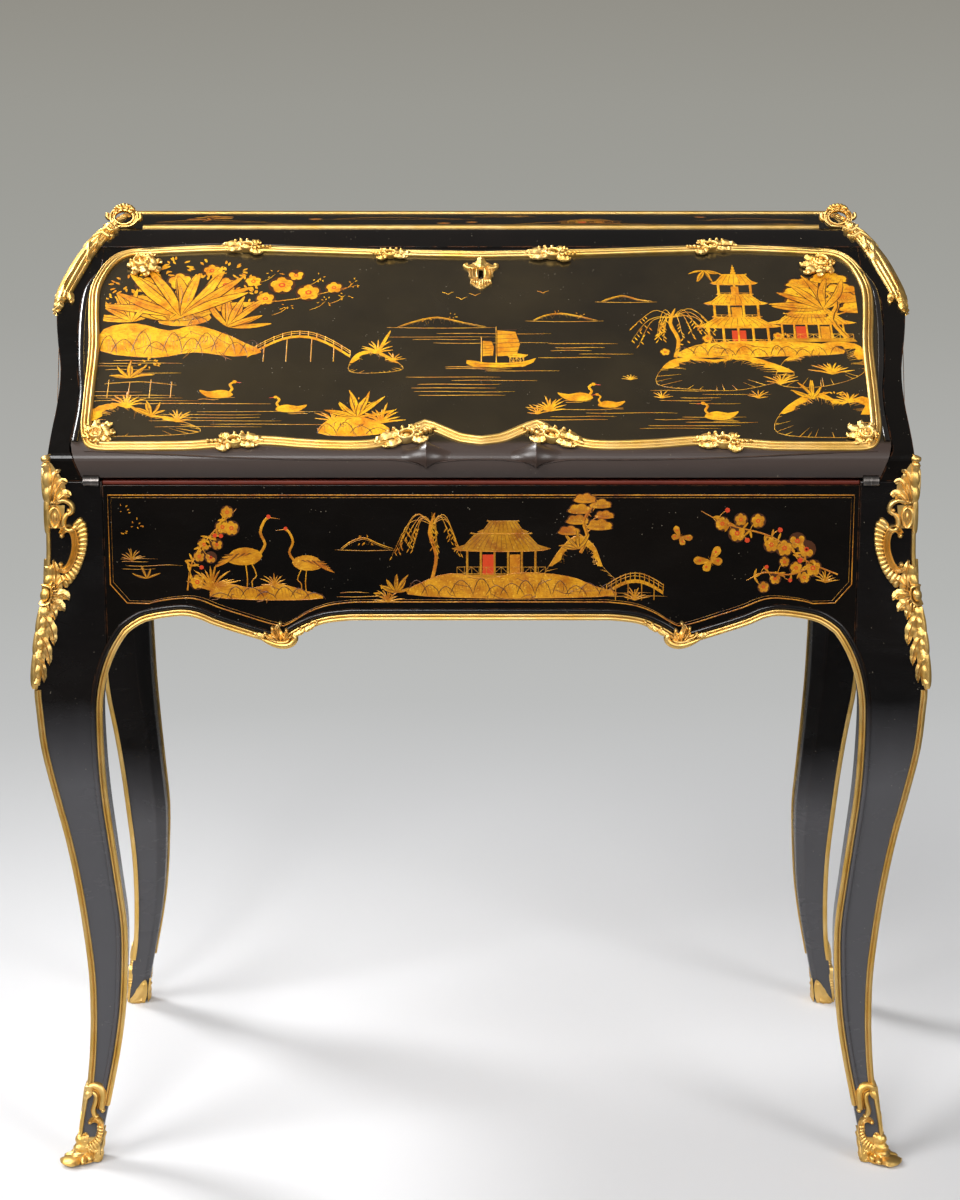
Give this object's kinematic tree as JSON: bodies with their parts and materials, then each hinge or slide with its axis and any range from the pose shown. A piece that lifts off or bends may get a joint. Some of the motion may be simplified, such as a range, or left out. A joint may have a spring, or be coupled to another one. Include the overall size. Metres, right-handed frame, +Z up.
{
  "type": "slant-front writing desk",
  "caption": "Slant-front lady's writing desk: black lacquer case on four curved legs, gilt mounts, drop-down writing fall over drawers, pigeonholes and a covered well.",
  "frame": {"origin": "on the floor, under the middle of the desk", "axes": "+X to the right as the sitter sees the desk, +Y from the sitter to the back, +Z up"},
  "size_m": [0.89, 0.482, 0.9595],
  "materials": {
    "black_lacquer": "glossy black lacquer with gold painting",
    "inner_wood": "waxed fruitwood",
    "gilt_bronze": "gilt, burnished on the high places",
    "steel": "bright steel gone grey",
    "leather": "dark brown hide",
    "red_lacquer": "red-brown lacquer"
  },
  "bodies": {
    "case": {"leg_front_left": "black_lacquer", "leg_front_right": "black_lacquer", "leg_back_left": "black_lacquer", "leg_back_right": "black_lacquer", "front_apron": "black_lacquer", "back_apron": "black_lacquer", "side_apron_left": "black_lacquer", "side_apron_right": "black_lacquer", "bottom_board": "inner_wood", "writing_bed": "red_lacquer", "side_panel_left": "black_lacquer", "side_panel_right": "black_lacquer", "back_panel": "black_lacquer", "top_board": "black_lacquer", "top_rail": "black_lacquer", "knee_mount_front_left": "gilt_bronze", "knee_mount_front_right": "gilt_bronze", "knee_mount_back_left": "gilt_bronze", "knee_mount_back_right": "gilt_bronze", "shoe_front_left": "gilt_bronze", "shoe_front_right": "gilt_bronze", "shoe_back_left": "gilt_bronze", "shoe_back_right": "gilt_bronze", "shoulder_mount_left": "gilt_bronze", "shoulder_mount_right": "gilt_bronze", "corner_ring_left": "gilt_bronze", "corner_ring_right": "gilt_bronze", "top_border": "gilt_bronze", "arris_fillets": "gilt_bronze", "front_edge_fillet": "gilt_bronze", "back_edge_fillet": "gilt_bronze", "side_edge_fillets": "gilt_bronze", "apron_leaves": "gilt_bronze", "lower_tier": "inner_wood", "pigeonholes": "inner_wood", "well_partitions": "inner_wood", "cover_runners": "inner_wood", "hinge_case_leaves": "steel", "stay_studs": "steel", "lock_keeper": "steel"},
    "fall": {"fall_board": "black_lacquer", "fall_frame": "gilt_bronze", "fall_clasps": "gilt_bronze", "escutcheon": "gilt_bronze", "lock_case": "steel", "writing_leather": "leather", "hinge_fall_leaves": "steel", "stay_brackets": "steel"},
    "lock_bolt": {"lock_bolt": "steel"},
    "stay_left": {"stay_left": "steel"},
    "stay_right": {"stay_right": "steel"},
    "drawer_left": {"drawer_left": "inner_wood", "knob_left": "gilt_bronze"},
    "drawer_centre": {"drawer_centre": "inner_wood", "knob_centre": "gilt_bronze"},
    "drawer_right": {"drawer_right": "inner_wood", "knob_right": "gilt_bronze"},
    "well_cover": {"well_cover": "red_lacquer", "cover_pull": "gilt_bronze"}
  },
  "joints": [
    {"name": "fall_hinge", "type": "hinge", "parent": "case", "child": "fall", "pos_m": [0, -0.22, 0.72], "axis": [1, 0, 0], "range_deg": [0, 146.5]},
    {"name": "lock_bolt_slide", "type": "slide", "parent": "fall", "child": "lock_bolt", "axis": [0, 0.8339, 0.5519], "range_m": [0, 0.008]},
    {"name": "stay_left_pivot", "type": "hinge", "parent": "fall", "child": "stay_left", "pos_m": [0, -0.14586, 0.75948], "axis": [1, 0, 0], "range_deg": [-73.25, 0]},
    {"name": "stay_right_pivot", "type": "hinge", "parent": "fall", "child": "stay_right", "pos_m": [0, -0.14586, 0.75948], "axis": [1, 0, 0], "range_deg": [-73.25, 0]},
    {"name": "drawer_left_slide", "type": "slide", "parent": "case", "child": "drawer_left", "axis": [0, -1, 0], "range_m": [0, 0.1]},
    {"name": "drawer_centre_slide", "type": "slide", "parent": "case", "child": "drawer_centre", "axis": [0, -1, 0], "range_m": [0, 0.1]},
    {"name": "drawer_right_slide", "type": "slide", "parent": "case", "child": "drawer_right", "axis": [0, -1, 0], "range_m": [0, 0.1]},
    {"name": "well_cover_slide", "type": "slide", "parent": "case", "child": "well_cover", "axis": [0, 1, 0], "range_m": [0, 0.15]}
  ],
  "couplings": [
    {"joint": "stay_left_pivot", "follows": "fall_hinge", "ratio": -0.5},
    {"joint": "stay_right_pivot", "follows": "fall_hinge", "ratio": -0.5}
  ]
}
